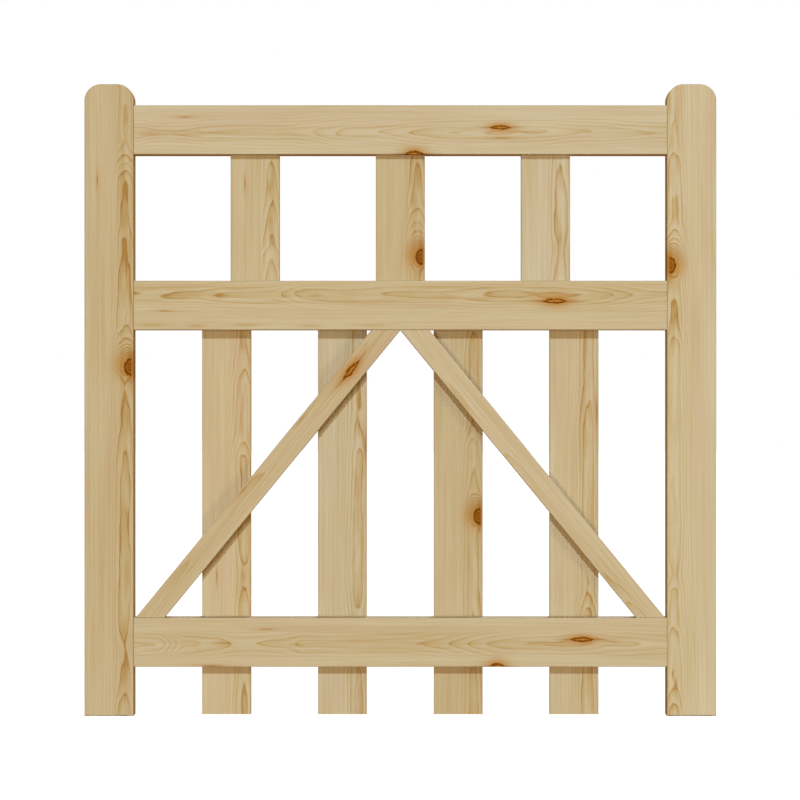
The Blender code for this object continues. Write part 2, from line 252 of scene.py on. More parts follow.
def surface_wave(x, z, seed):
    """The slight unevenness of a planed face: four long sine waves added up."""
    draw = np.random.default_rng(seed)
    total = np.zeros_like(x)
    for length in (0.33, 0.19, 0.11, 0.07):
        heading = draw.uniform(0, 2 * math.pi)
        phase = draw.uniform(0, 2 * math.pi)
        run = x * math.cos(heading) + z * math.sin(heading)
        total += np.sin(2 * math.pi * run / length + phase)
    return SURFACE_WAVE * total / 2


def board_object(name, is_level, parts, seed):
    """Turn a board's across, along and depth into world points and make its object."""
    across, along, depth, faces = parts
    x, z = (along, across) if is_level else (across, along)
    y = depth + surface_wave(x, z, seed)
    return mesh_object(name, np.column_stack([x, y, z]).tolist(), faces)


def rows_between(start, end):
    """Evenly spaced places along a board, about ROW_LENGTH apart, with a guard row at each end."""
    count = max(4, round((end - start) / ROW_LENGTH))
    middle = np.linspace(start + GUARD_STRIP, end - GUARD_STRIP, count)
    return np.concatenate([[start], middle, [end]])


def straight_board(low, high, is_level):
    """A board with parallel edges and square ends, between the corners of a box."""
    across_axis, along_axis = (2, 0) if is_level else (0, 2)
    along = rows_between(low[along_axis], high[along_axis])
    left = np.column_stack([np.full(len(along), low[across_axis]), along])
    right = np.column_stack([np.full(len(along), high[across_axis]), along])
    out = np.tile([1.0, 0.0], (len(along), 1))
    return board(left, right, -out, out, ((0.0, 0.0), (0.0, 0.0)), low[1], high[1])


def stile_board(low, high):
    """A stile: straight edges, then a quarter arc on both corners of the top.

    Up to the arc's centre the outward vector is level. On the arc it is (cos a, sin a), with a
    from 0 to a right angle, and the edge is the centre plus the radius times that vector.
    """
    centre_height = high[2] - STILE_TOP_RADIUS
    straight = rows_between(low[2], centre_height)
    turn = np.linspace(0, math.pi / 2, TOP_ARC_STEPS + 1)[1:]
    arc = np.column_stack([np.cos(turn), np.sin(turn)])
    level = np.tile([1.0, 0.0], (len(straight), 1))
    right_out = np.vstack([level, arc])
    centre = np.array([high[0] - STILE_TOP_RADIUS, centre_height])
    right = np.vstack([
        np.column_stack([np.full(len(straight), high[0]), straight]),
        centre + STILE_TOP_RADIUS * arc,
    ])
    mirror = np.array([-1.0, 1.0])
    middle = np.array([low[0] + high[0], 0.0])
    left = middle + right * mirror
    left_out = right_out * mirror
    right_out[0] = (1.0, -1.0)
    left_out[0] = (-1.0, -1.0)
    return board(left, right, left_out, right_out, ((0.0, -1.0), (0.0, 1.0)), low[1], high[1])


def brace_slope(low, high):
    """The slope of a square brace whose level-cut ends fill the box from corner to corner.

    run * sin(slope) - rise * cos(slope) = width, and the width is the same as the depth.
    """
    run = high[0] - low[0]
    rise = high[2] - low[2]
    return math.atan2(rise, run) + math.asin((high[1] - low[1]) / math.hypot(run, rise))


def brace_side(high):
    """-1 for the brace on the left of the middle, and 1 for the one on the right."""
    return -1 if high[0] < MIDDLE_SPARE else 1


def brace_board(low, high, side):
    """A brace: every row is level, and moves towards the middle of the gate as it rises."""
    slope = brace_slope(low, high)
    level_width = (high[1] - low[1]) / math.sin(slope)
    height = rows_between(low[2], high[2])
    rise = (height - low[2]) / math.tan(slope)
    if side < 0:
        left_x = low[0] + rise
    else:
        left_x = high[0] - level_width - rise
    left = np.column_stack([left_x, height])
    right = left + np.array([level_width, 0.0])
    out = np.tile([1 / math.sin(slope), 0.0], (len(height), 1))
    return board(left, right, -out, out, ((0.0, 0.0), (0.0, 0.0)), low[1], high[1])


# Fixings and their holes


def skew_start(name):
    """Where a skew nail enters its brace, and which way it runs."""
    brace = name[len("nail_"):].rsplit("_", 1)[0]
    low, high = (np.array(corner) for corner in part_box(brace))
    nail_low, nail_high = (np.array(corner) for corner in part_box(name))
    middle = (nail_low[0] + nail_high[0]) / 2
    going_up = name.endswith("_head")
    height = high[2] - SKEW_NAIL_RISE if going_up else low[2] + SKEW_NAIL_RISE
    upward = math.sin(SKEW_NAIL_ANGLE) * (1 if going_up else -1)
    return (middle, high[1], height), (0.0, -math.cos(SKEW_NAIL_ANGLE), upward), SKEW_NAIL_LENGTH


def fixing_place(name):
    """The start, direction and length of a nail or dowel, from its box in the frame."""
    if name.startswith("nail_brace") and name.endswith(("_foot", "_head")):
        return skew_start(name)
    low, high = (np.array(corner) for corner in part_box(name))
    start = ((low[0] + high[0]) / 2, high[1], (low[2] + high[2]) / 2)
    return start, (0.0, -1.0, 0.0), high[1] - low[1]


def nail_body(start, direction, length):
    """A wire nail: a low domed head, ring grips under it, a round shank and a diamond point."""
    head = NAIL_HEAD_RADIUS
    thick = NAIL_HEAD_THICKNESS
    profile = [(0.0, head * 0.30), (0.00003, head * 0.62), (0.00010, head * 0.86), (0.00026, head * 0.97)]
    profile += [(0.00045, head), (thick - 0.00035, head), (thick - 0.00012, head * 0.94)]
    profile += [(thick, head * 0.70), (thick + 0.0004, NAIL_RADIUS * 1.15), (thick + 0.0009, NAIL_RADIUS)]
    for i in range(NAIL_GRIP_COUNT):
        at = NAIL_GRIP_START + i * NAIL_GRIP_PITCH
        profile += [(at, NAIL_RADIUS), (at + 0.0002, NAIL_RADIUS - NAIL_GRIP_DEPTH)]
        profile += [(at + 0.0004, NAIL_RADIUS - NAIL_GRIP_DEPTH), (at + 0.0006, NAIL_RADIUS)]
    neck = length - NAIL_POINT_LENGTH
    profile += [(neck - 0.0005, NAIL_RADIUS), (neck, NAIL_RADIUS)]
    steps = np.linspace(0, 1, 7)[1:]
    profile += [(neck + NAIL_POINT_LENGTH * t * 0.98, NAIL_RADIUS * (1 - 0.93 * t)) for t in steps]

    def diamond(angle, distance):
        """Round on the shank, square on the point: 1 / (|cos| + |sin|), eased in over the point."""
        point = np.clip((distance - neck) / (NAIL_POINT_LENGTH * 0.3), 0, 1)
        square = 1 / (np.abs(np.cos(angle)) + np.abs(np.sin(angle)))
        return (1 - point) + point * square * 1.05

    return turned(profile, NAIL_SIDES, start, direction, diamond)


def dowel_body(start, direction, length):
    """A dowel with straight flutes, sawn flush outside and chamfered inside."""
    radius = DOWEL_RADIUS
    outer = [(0.0, radius * share) for share in (0.25, 0.5, 0.75, 0.93)] + [(0.00008, radius - 0.00002)]
    middle = [(0.0006, radius)] + [(t * (length - DOWEL_CHAMFER), radius) for t in (0.25, 0.5, 0.75, 1.0)]
    inner = [(length - 0.0005, radius - 0.0004), (length, radius - DOWEL_CHAMFER), (length, radius * 0.4)]

    def flute(angle, distance):
        """Rounded flutes, faded out on the sawn face."""
        groove = (1 - np.cos(DOWEL_FLUTES * angle)) / 2
        fade = np.clip(distance / 0.0006, 0, 1)
        return 1 - fade * groove ** 3 * DOWEL_FLUTE_DEPTH / radius

    return turned(outer + middle + inner, DOWEL_SIDES, start, direction, flute)


def bore_body(name):
    """The hole that a fixing sits in, opened past the surface: a sunk seat and a bore for a nail."""
    start, direction, length = fixing_place(name)
    if name.startswith("dowel_"):
        hole = DOWEL_RADIUS + FIT_GAP
        return turned([(-CUT_PAST, hole), (length + FIT_GAP, hole)], BORE_SIDES, start, direction)
    bore = NAIL_RADIUS + FIT_GAP
    seat = NAIL_HEAD_RADIUS + FIT_GAP
    seat_depth = NAIL_HEAD_THICKNESS + FIT_GAP
    profile = [(-CUT_PAST, seat), (seat_depth, seat), (seat_depth, bore), (length + FIT_GAP, bore)]
    return turned(profile, BORE_SIDES, start, direction)


FIXINGS = sorted(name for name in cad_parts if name.startswith(("nail_", "dowel_")))


def boxes_meet(a, b, spare):
    """Whether the boxes of two nodes come within a distance of each other."""
    low_a, high_a = (np.array(corner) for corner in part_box(a))
    low_b, high_b = (np.array(corner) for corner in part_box(b))
    return bool(np.all(low_a - spare < high_b) and np.all(low_b - spare < high_a))


def goes_into(fixing, timber):
    """Whether a fixing passes through a timber.

    Boxes are enough for timbers that lie square. A brace leans, so its own nails carry its name.
    """
    if timber.startswith("brace_"):
        return timber in fixing
    if fixing.startswith("dowel_"):
        rail, side = fixing[len("dowel_"):].rsplit("_", 1)
        return timber in (rail, "stile_" + side)
    return boxes_meet(fixing, timber, -LEAST_ENTRY)


# Timbers


def tenons(name):
    """The two stub tenons of a rail, rooted a little way into its body."""
    low, high = (np.array(corner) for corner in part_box(name))
    middle = (low[1] + high[1]) / 2
    half = TENON_THICKNESS / 2
    foot = low[2] + TENON_SHOULDER
    top = high[2] - TENON_SHOULDER
    inner = TENON_LENGTH + FIT_GAP + TENON_ROOT
    left = block((low[0], middle - half, foot), (low[0] + inner, middle + half, top))
    right = block((high[0] - inner, middle - half, foot), (high[0], middle + half, top))
    return [left, right]


def mortises(name, rails):
    """The mortises of a stile: each rail's tenon with the fit gap round it."""
    low, high = (np.array(corner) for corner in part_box(name))
    on_left = high[0] < 0
    cutters = []
    for rail in rails:
        rail_low, rail_high = (np.array(corner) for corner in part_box(rail))
        middle = (rail_low[1] + rail_high[1]) / 2
        half = TENON_THICKNESS / 2 + FIT_GAP
        foot = rail_low[2] + TENON_SHOULDER - FIT_GAP
        top = rail_high[2] - TENON_SHOULDER + FIT_GAP
        if on_left:
            near, far = rail_low[0] - FIT_GAP, high[0] + CUT_PAST
        else:
            near, far = low[0] - CUT_PAST, rail_high[0] + FIT_GAP
        cutters.append(block((near, middle - half, foot), (far, middle + half, top)))
    return cutters


def paling_seats(rail, palings):
    """Where palings are let into a rail: each paling's box with the fit gap round it.

    A seat is opened past the face or edge of the rail that the paling comes in through.
    """
    rail_low, rail_high = (np.array(corner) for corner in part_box(rail))
    cutters = []
    for paling in palings:
        low, high = (np.array(corner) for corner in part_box(paling))
        low = low - FIT_GAP
        high = high + FIT_GAP
        if high[1] > rail_high[1]:
            high[1] = rail_high[1] + CUT_PAST
        low[2] = max(low[2], rail_low[2] - CUT_PAST)
        high[2] = min(high[2], rail_high[2] + CUT_PAST)
        cutters.append(block(low, high))
    return cutters


RAILS = ("top_rail", "middle_rail", "bottom_rail")
UPPER_PALINGS = tuple(sorted(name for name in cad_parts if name.startswith("upper_paling")))
LOWER_PALINGS = tuple(sorted(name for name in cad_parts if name.startswith("lower_paling")))
STILES = ("stile_left", "stile_right")
BRACES = ("brace_left", "brace_right")
SEATED = {
    "top_rail": (UPPER_PALINGS,),
    "middle_rail": (UPPER_PALINGS, LOWER_PALINGS),
    "bottom_rail": (LOWER_PALINGS,),
}


def body_of_timber(name, seed):
    """Draw one timber and cut its joints and holes."""
    low, high = (np.array(corner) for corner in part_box(name))
    piece_name = name + "_planed"
    if name in STILES:
        item = board_object(piece_name, False, stile_board(low, high), seed)
        combine(item, mortises(name, RAILS), "DIFFERENCE")
    elif name in RAILS:
        shoulder = np.array([TENON_LENGTH + FIT_GAP, 0, 0])
        item = board_object(piece_name, True, straight_board(low + shoulder, high - shoulder, True), seed)
        combine(item, tenons(name), "UNION")
        for palings in SEATED[name]:
            combine(item, paling_seats(name, palings), "DIFFERENCE")
    elif name in BRACES:
        item = board_object(piece_name, False, brace_board(low, high, brace_side(high)), seed)
    else:
        item = board_object(piece_name, False, straight_board(low, high, False), seed)
    bores = [bore_body(fixing) for fixing in FIXINGS if goes_into(fixing, name)]
    if bores:
        combine(item, bores, "DIFFERENCE")
    return item


def shade(item, angle):
    """Shade an object smooth and keep its crisp edges."""
    item.data.shade_smooth()
    item.data.set_sharp_from_angle(angle=math.radians(angle))


def fit(item, node):
    """Let a finished piece stand for its node of the frame."""
    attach(item, "root")
    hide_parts(node)


# Shader wiring


class Value:
    """A shader socket's number that Python's operators work on, adding Math nodes."""

    def __init__(self, finish, socket):
        self.finish = finish
        self.socket = socket

    def math(self, operation, *others):
        """A Math node on this value and the others."""
        values = [self, *others]
        return self.finish.math(operation, *values)

    def __add__(self, other):
        return self.math("ADD", other)

    __radd__ = __add__

    def __sub__(self, other):
        return self.math("SUBTRACT", other)

    def __rsub__(self, other):
        return self.finish.math("SUBTRACT", other, self)

    def __mul__(self, other):
        return self.math("MULTIPLY", other)

    __rmul__ = __mul__

    def __truediv__(self, other):
        return self.math("DIVIDE", other)

    def __rtruediv__(self, other):
        return self.finish.math("DIVIDE", other, self)

    def __neg__(self):
        return self.math("MULTIPLY", -1.0)

    def __abs__(self):
        return self.math("ABSOLUTE")

    def rise(self, start, end):
        """0 below start, 1 above end, and a smooth step between them."""
        settings = {"interpolation_type": "SMOOTHSTEP", "clamp": True}
        sockets = {"Value": self, "From Min": start, "From Max": end}
        return self.finish.node("ShaderNodeMapRange", settings, sockets)

    def clipped(self):
        """Kept between 0 and 1."""
        return self.finish.node("ShaderNodeClamp", {}, {"Value": self})


class Finish:
    """One procedural material, built node by node."""

    def __init__(self, name):
        self.material = bpy.data.materials.new(name)
        self.material.use_nodes = True
        self.tree = self.material.node_tree
        self.shader = self.tree.nodes["Principled BSDF"]

    def link(self, value, socket):
        """Link a value or a socket, or set a constant."""
        if isinstance(value, Value):
            value = value.socket
        if isinstance(value, bpy.types.NodeSocket):
            self.tree.links.new(value, socket)
        else:
            socket.default_value = value

    def node(self, kind, settings, sockets, output=0):
        """Add any node: its settings first, then its sockets. Gives one of its outputs."""
        node = self.tree.nodes.new(kind)
        for key, setting in settings.items():
            if key == "stops":
                self.set_stops(node.color_ramp, setting)
            elif key == "interpolation":
                node.color_ramp.interpolation = setting
            else:
                setattr(node, key, setting)
        for key, value in sockets.items():
            self.link(value, node.inputs[key])
        return Value(self, node.outputs[output])

    def set_stops(self, ramp, stops):
        """Give a ramp its stops: (place, colour) or (place, grey)."""
        while len(ramp.elements) > 1:
            ramp.elements.remove(ramp.elements[-1])
        for i, (place, colour) in enumerate(stops):
            element = ramp.elements[0] if i == 0 else ramp.elements.new(place)
            element.position = place
            is_grey = isinstance(colour, (int, float))
            element.color = (colour, colour, colour, 1.0) if is_grey else (*colour, 1.0)

    def math(self, operation, *values):
        """A Math node on one to three values."""
        return self.node("ShaderNodeMath", {"operation": operation}, dict(enumerate(values)))

    def ramp(self, value, stops, interpolation="LINEAR"):
        """A value through a ramp of stops."""
        settings = {"interpolation": interpolation, "stops": stops}
        return self.node("ShaderNodeValToRGB", settings, {"Fac": value})

    def blend(self, factor, under, over):
        """Two colours mixed by a factor."""
        sockets = {0: factor, 6: under, 7: over}
        return self.node("ShaderNodeMix", {"data_type": "RGBA"}, sockets, 2)

    def stain(self, factor, under, tone):
        """A colour stained with a plain tone by a factor."""
        return self.blend(factor, under, (*tone, 1.0))

    def vector(self, x, y, z):
        """Three values as one vector."""
        return self.node("ShaderNodeCombineXYZ", {}, {"X": x, "Y": y, "Z": z})

    def noise(self, place, detail=2.0, roughness=0.5):
        """Smooth noise from 0 to 1 at a place."""
        sockets = {"Vector": place, "Scale": 1.0, "Detail": detail, "Roughness": roughness}
        return self.node("ShaderNodeTexNoise", {}, sockets)

    def object_place(self, centre, turn=0.0):
        """Object coordinates in millimetres, turned about Y and measured from a centre."""
        rotation = Matrix.Rotation(turn, 3, "Y")
        shift = -(rotation @ (Vector(centre) * MM))
        object_coordinates = self.node("ShaderNodeTexCoord", {}, {}, "Object")
        sockets = {
            "Vector": object_coordinates,
            "Scale": (MM, MM, MM),
            "Rotation": (0.0, turn, 0.0),
            "Location": tuple(shift),
        }
        mapped = self.node("ShaderNodeMapping", {"vector_type": "POINT"}, sockets)
        separate = self.tree.nodes.new("ShaderNodeSeparateXYZ")
        self.link(mapped, separate.inputs[0])
        return [Value(self, output) for output in separate.outputs]


def srgb(red, green, blue):
    """A colour given in 0 to 255 display steps, as linear light."""
    steps = [channel / 255 for channel in (red, green, blue)]
    return tuple(s / 12.92 if s <= 0.04045 else ((s + 0.055) / 1.055) ** 2.4 for s in steps)


# Timber: tones

TONE_STOPS = (
    (0.00, srgb(213, 194, 156)),
    (0.30, srgb(205, 182, 140)),
    (0.62, srgb(197, 167, 113)),
    (1.00, srgb(178, 134, 72)),
)
PINK_TONE = srgb(206, 174, 140)
GREEN_TONE = srgb(200, 184, 136)
PITCH_TONE = srgb(160, 104, 34)
TAIL_TONE = srgb(192, 142, 70)
HALO_TONE = srgb(192, 136, 58)
ARC_TONE = srgb(140, 96, 42)
KNOT_TAIL_TONE = srgb(168, 112, 44)
EYE_STOPS = (
    (0.00, srgb(192, 134, 50)),
    (0.16, srgb(178, 114, 34)),
    (0.28, srgb(140, 78, 8)),
    (0.50, srgb(120, 62, 2)),
    (0.58, srgb(162, 106, 34)),
    (0.68, srgb(190, 142, 68)),
    (1.00, srgb(198, 158, 92)),
)
ROUND_STOPS = (
    (0.00, srgb(138, 76, 6)),
    (0.12, srgb(162, 98, 18)),
    (0.22, srgb(122, 64, 2)),
    (0.30, srgb(168, 104, 22)),
    (0.38, srgb(150, 88, 12)),
    (0.46, srgb(104, 52, 0)),
    (0.53, srgb(138, 80, 12)),
    (0.62, srgb(184, 130, 50)),
    (1.00, srgb(198, 160, 92)),
)

# Timber: grain
# Each timber is measured from the centre of its face, in millimetres: across, then along.
# "seed" picks its noise and its surface wave. "tone" is the shade that its colour is multiplied
# by, and "contrast" how strongly its rings show, or 1 where it isn't given.
# "heart" is where the middle line of the log runs, and how far in front of the face it lies.
# "spacing" is the width of a ring.
# "rings" says how many rings the log has grown by at places along it, so that the rings come to
# the face in arches: an arch points the way that the count grows.
# "knots" are (across, along, half width, half length). "pitch" are thin resin pockets, and
# "streaks" soft tan stains, with the same four sizes.

GRAIN = {
    "stile_left": {
        "seed": 1, "tone": (0.911, 0.916, 0.845), "heart": (23, 20), "spacing": 2.5,
        "rings": (
            (-450, 0.3), (-395, 1.5), (-355, 1.9), (-300, 1.3), (-120, 1.5), (-20, 2.6), (35, 3.2),
            (75, 5.4), (112, 6.85), (165, 7.3), (222, 7.85), (255, 8.6), (305, 8.85), (372, 12.8),
            (450, 13.3),
        ),
        "knots": ((31, 47, 8.5, 11.5),),
        "pitch": ((-16.6, 313, 0.8, 7),),
        "streaks": ((22, 300, 4, 32), (22, 222, 4, 25)),
    },
    "stile_right": {
        "seed": 2, "tone": (0.994, 1.060, 1.067), "heart": (-25, 20), "spacing": 2.5,
        "rings": (
            (-450, 0.4), (-405, 1.8), (-345, 2.3), (-310, 3.4), (-275, 3.8), (-250, 4.9), (-215, 4.4),
            (-160, 4.0), (60, 4.3), (120, 5.6), (175, 6.4), (215, 8.6), (262, 10.8), (330, 11.3),
            (375, 12.8), (450, 13.2),
        ),
        "knots": ((-31, 192, 7.5, 11),),
        "pitch": (),
        "streaks": (),
    },
    "top_rail": {
        "seed": 3, "contrast": 0.72, "tone": (0.965, 1.020, 1.040), "heart": (-4, 19.4), "spacing": 2.6,
        "rings": (
            (-380, 5.6), (-345, 6.35), (-315, 6.2), (-265, 5.4), (-165, 5.2), (-60, 2.9), (75, 0.6),
            (190, 0.4), (260, 1.4), (380, 2.4),
        ),
        "knots": ((3.3, 142.7, 2.9, 13), (-35, 20, 4.6, 12)),
        "pitch": ((18, -306, 0.7, 8), (-11.5, 143, 0.6, 11)),
        "streaks": ((-5, -362, 3, 16), (-4, -283, 2, 14)),
    },
    "middle_rail": {
        "seed": 4, "contrast": 0.85, "tone": (0.945, 0.975, 0.931), "heart": (15, 19.4), "spacing": 2.6,
        "rings": (
            (-380, 6.4), (-300, 6.2), (-240, 5.3), (-190, 5.0), (-130, 2.9), (-90, 2.7), (40, 2.2),
            (150, 1.3), (240, 1.5), (380, 4.4),
        ),
        "knots": ((6, 220.5, 3.7, 15),),
        "pitch": ((-8, -336, 0.7, 8), (18, 218, 0.6, 9)),
        "streaks": (
            (14, -258, 3, 13), (-28, -352, 2.5, 24), (-28, -220, 2.5, 22), (14, -120, 2, 12),
            (-29, -290, 2, 14), (-29, -130, 2, 20), (-28, -40, 2, 26),
        ),
    },
    "bottom_rail": {
        "seed": 5, "contrast": 0.72, "tone": (0.931, 0.956, 0.922), "heart": (-2, 19.4), "spacing": 2.6,
        "rings": (
            (-380, 1.3), (-348, 1.6), (-305, 5.2), (-262, 5.7), (-235, 6.4), (-175, 6.1), (-135, 5.2),
            (-10, 4.9), (190, 0.6), (240, 0.4), (320, 1.4), (380, 1.9),
        ),
        "knots": ((4, 258.8, 3.3, 15), (-35, 137.7, 4.8, 11)),
        "pitch": ((18.6, -190, 0.7, 8), (-33.5, -269, 1.2, 14)),
        "streaks": ((-1, -255, 3, 14), (-4, -150, 2.5, 14)),
    },
    "upper_paling_1": {
        "seed": 6, "tone": (0.945, 0.985, 0.946), "heart": (23.5, 19), "spacing": 2.5,
        "rings": ((-105, 0.5), (-55, 1.2), (-35, 2.2), (0, 2.85), (25, 3.4), (50, 3.9), (105, 4.6)),
        "knots": (),
        "pitch": ((-14.5, 50, 0.8, 8),),
        "streaks": ((22, 46, 4, 16), (22, -2, 4, 18)),
    },
    "upper_paling_2": {
        "seed": 7, "tone": (0.911, 0.912, 0.827), "heart": (25, 20), "spacing": 2.5,
        "rings": (
            (-105, 0.6), (-70, 0.9), (-40, 2.6), (-20, 3.9), (0, 5.0), (22, 6.2), (60, 6.7), (105, 7.4),
        ),
        "knots": ((30, -55.5, 7.5, 10.5),),
        "pitch": (),
        "streaks": (),
    },
    "upper_paling_3": {
        "seed": 8, "tone": (0.968, 1.034, 1.078), "heart": (21, 20), "spacing": 2.5,
        "rings": ((-105, 0.2), (-80, 1.4), (-45, 1.8), (-15, 1.2), (30, 1.5), (105, 2.2)),
        "knots": (),
        "pitch": (),
        "streaks": ((21, -30, 1.5, 12),),
    },
    "lower_paling_1": {
        "seed": 9, "tone": (0.970, 0.980, 0.936), "heart": (25, 20), "spacing": 2.5,
        "rings": (
            (-300, 0.5), (-160, 1.9), (-102, 2.85), (-60, 2.2), (60, 2.6), (110, 4.4), (170, 4.8),
            (200, 5.9), (230, 6.6), (300, 6.9),
        ),
        "knots": (),
        "pitch": ((-14, -102, 0.8, 8),),
        "streaks": ((24, -102, 4, 14), (22, 235, 2.5, 16)),
    },
    "lower_paling_2": {
        "seed": 10, "tone": (0.935, 0.980, 0.995), "heart": (23, 17.2), "spacing": 2.8,
        "rings": ((-300, 1.5), (-165, 2.0), (-120, 1.3), (60, 1.7), (120, 2.7), (300, 3.3)),
        "knots": (),
        "pitch": ((33, 85, 1.3, 16),),
        "streaks": ((22, -130, 2, 16),),
    },
    "lower_paling_3": {
        "seed": 11, "tone": (0.902, 0.902, 0.827), "heart": (22, 20), "spacing": 2.5,
        "rings": (
            (-300, 0.4), (-180, 0.9), (-40, 1.4), (10, 3.4), (80, 4.2), (120, 5.9), (210, 6.4), (300, 7.6),
        ),
        "knots": ((30, -16, 7.5, 11),),
        "pitch": (),
        "streaks": (),
    },
    "lower_paling_4": {
        "seed": 12, "tone": (0.955, 0.985, 0.960), "heart": (20, 18.2), "spacing": 2.8,
        "rings": ((-300, 0.6), (-160, 1.2), (-120, 2.5), (100, 2.9), (180, 3.8), (300, 4.2)),
        "knots": (),
        "pitch": ((33, 133, 1.3, 16),),
        "streaks": (),
    },
    "brace_left": {
        "seed": 13, "contrast": 0.55, "tone": (0.921, 0.916, 0.864), "heart": (-8, 22.4), "spacing": 2.6,
        "rings": ((-285, 0.6), (-120, 1.8), (40, 2.6), (170, 3.2), (285, 4.9)),
        "knots": ((-2, 189, 4, 15),),
        "pitch": ((-12, 90, 0.6, 7), (-12.5, -40, 0.6, 8)),
        "streaks": (),
    },
    "brace_right": {
        "seed": 14, "contrast": 0.6, "tone": (0.954, 0.985, 0.963), "heart": (-12, 22.4), "spacing": 2.6,
        "rings": ((-285, 0.4), (-160, 1.8), (-20, 2.2), (130, 3.6), (285, 4.2)),
        "knots": (),
        "pitch": (),
        "streaks": (),
    },
}

# Timber: rings
RING_SPAN = 16.0
SEED_STEP = 17.31
HEART_WANDER = 5.0
RIPPLE_RINGS = 1.1
PACE_START = 4
PACE_LENGTH = 9.0
PACE_RINGS = 2.4
ROUND_SWIRL = 6.5
EYE_SWIRL = 0.45
ARRIS_START = 31.6
ARRIS_END = 32.6

# Timber: how much each part of the grain darkens the wood
PALE_START = 0.13
LINE_WEIGHT = 0.46
COLUMN_WEIGHT = 0.26
FLECK_WEIGHT = 0.34
STREAK_WEIGHT = 0.85
CLOUD_WEIGHT = 0.55
FIBRE_WEIGHT = 0.46
STAIN_WEIGHT = 0.45
FLECK_SHADE = 0.16

# Timber: surface
TIMBER_ROUGHNESS = 0.68
TIMBER_SHEEN = 0.03
TIMBER_BUMP = 0.45
TIMBER_BUMP_HEIGHT = 0.00006


def hump(place, centre, half):
    """exp(-d), where d is the squared distance from a centre in half sizes, for each direction."""
    total = None
    for value, middle, size in zip(place, centre, half):
        step = (value - middle) / size
        square = step * step
        total = square if total is None else total + square
    return (-total).math("EXPONENT")


def timber_place(finish, node):
    """Places across, into and along a timber from the centre of its face, and its length."""
    low, high = (np.array(corner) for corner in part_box(node))
    centre = ((low[0] + high[0]) / 2, low[1], (low[2] + high[2]) / 2)
    turn = 0.0
    if node in BRACES:
        turn = brace_side(high) * (math.pi / 2 - brace_slope(low, high))
    x, depth, z = finish.object_place(centre, turn)
    if node in RAILS:
        return z, depth, x, (high[0] - low[0]) * MM
    return x, depth, z, (high[2] - low[2]) * MM / math.cos(turn)


def ring_count(finish, place, length, grain, noise):
    """The rings between the log's heart line and a place, and how far to the side that place is.

    The distance from the heart line over the ring spacing, plus the growth along the log, plus
    a ripple, plus noise that grows wide and narrow rings.
    """
    across, depth, along = place
    heart_across, heart_reach = grain["heart"]
    from_heart = across - heart_across + (noise(400, 150, 1.0) - 0.5) * HEART_WANDER
    from_front = depth + heart_reach
    radius = (from_heart * from_heart + from_front * from_front).math("SQRT")
    stops = [(at / length + 0.5, count / RING_SPAN) for at, count in grain["rings"]]
    growth = finish.ramp(along / length + 0.5, stops, "EASE") * RING_SPAN
    ripple = noise(14, 70, 2.0, 0.5, 3.0) - 0.5
    paced = radius / PACE_LENGTH - PACE_START * grain["spacing"] / PACE_LENGTH
    pace = finish.noise(finish.vector(paced, float(grain["seed"]), 0.0), 1.0) - 0.5
    rings = radius / grain["spacing"] + growth + ripple * RIPPLE_RINGS + pace * PACE_RINGS
    return rings, from_heart


def knot_places(place, knot, noise):
    """Where one knot shows: (reach, swell, glow, tail, whether it is round).

    Reach is 0 in the knot's middle and 1 at its rim. Swell is where the rings bend round it,
    glow is the stain about it, and tail is the thin stain that runs out along the grain.
    """
    across, _, along = place
    knot_across, knot_along, half_width, half_length = knot
    here = (across, along)
    middle = (knot_across, knot_along)
    is_round = half_width > half_length / 2
    uneven = noise(2.2, 7, 2.0, 0.6, 9.0) - 0.5
    step_across = (across - knot_across) / half_width
    step_along = (along - knot_along) / half_length
    if is_round:
        lifted = (knot_across * 0.92, knot_along + half_length * 0.75)
        swell = hump(here, lifted, (half_width * 2.0, half_length * 1.5))
        reach = (step_across * step_across + step_along * step_along).math("SQRT") + uneven * 0.5
    else:
        swell = hump(here, middle, (half_width * 3.2, half_length * 1.6))
        reach = abs(step_across) + step_along * step_along * 0.8 + uneven * 1.5
    glow = hump(here, middle, (half_width * 2.3, half_length * 1.45))
    tail = hump(here, middle, (half_width * 0.45, half_length * 2.0))
    return reach, swell, glow, tail, is_round


def resin_marks(finish, colour, place, marks, streak):
    """A colour with thin resin pockets in it, near the face only, each in a softer stain."""
    across, depth, along = place
    front_only = 1 - depth.rise(4.0, 12.0)
    for mark_across, mark_along, half_width, half_length in marks:
        middle = (mark_across, mark_along)
        core = hump((across, along), middle, (half_width, half_length)) * front_only
        tail = hump((across, along), middle, (half_width * 3.0, half_length * 2.6)) * front_only
        colour = finish.stain(tail * STAIN_WEIGHT, colour, TAIL_TONE)
        colour = finish.stain((core * (streak * 0.9 + 0.2)).clipped(), colour, PITCH_TONE)
    return colour


def knot_marks(finish, colour, across, knots, edge, fibre):
    """A colour with the knots in it, and how far they cover the wood."""
    covered = None
    for reach, swell, glow, tail, is_round in knots:
        if is_round:
            colour = finish.stain((edge * swell * 1.1).clipped(), colour, ARC_TONE)
        halo = (glow * (fibre * 1.6 + 0.60)).clipped()
        colour = finish.stain(halo * 0.85, colour, HALO_TONE)
        colour = finish.stain((tail * (fibre * 1.2 + 0.45)).clipped(), colour, KNOT_TAIL_TONE)
        cover = 1 - reach.rise(0.98, 1.30)
        if is_round:
            cover = cover * (1 - abs(across).rise(ARRIS_START, ARRIS_END))
        stops = ROUND_STOPS if is_round else EYE_STOPS
        inside = finish.ramp((reach * 0.5 + (fibre - 0.5) * 0.12).clipped(), stops)
        colour = finish.blend(cover, colour, inside)
        covered = cover if covered is None else covered.math("MAXIMUM", cover)
    return colour, covered


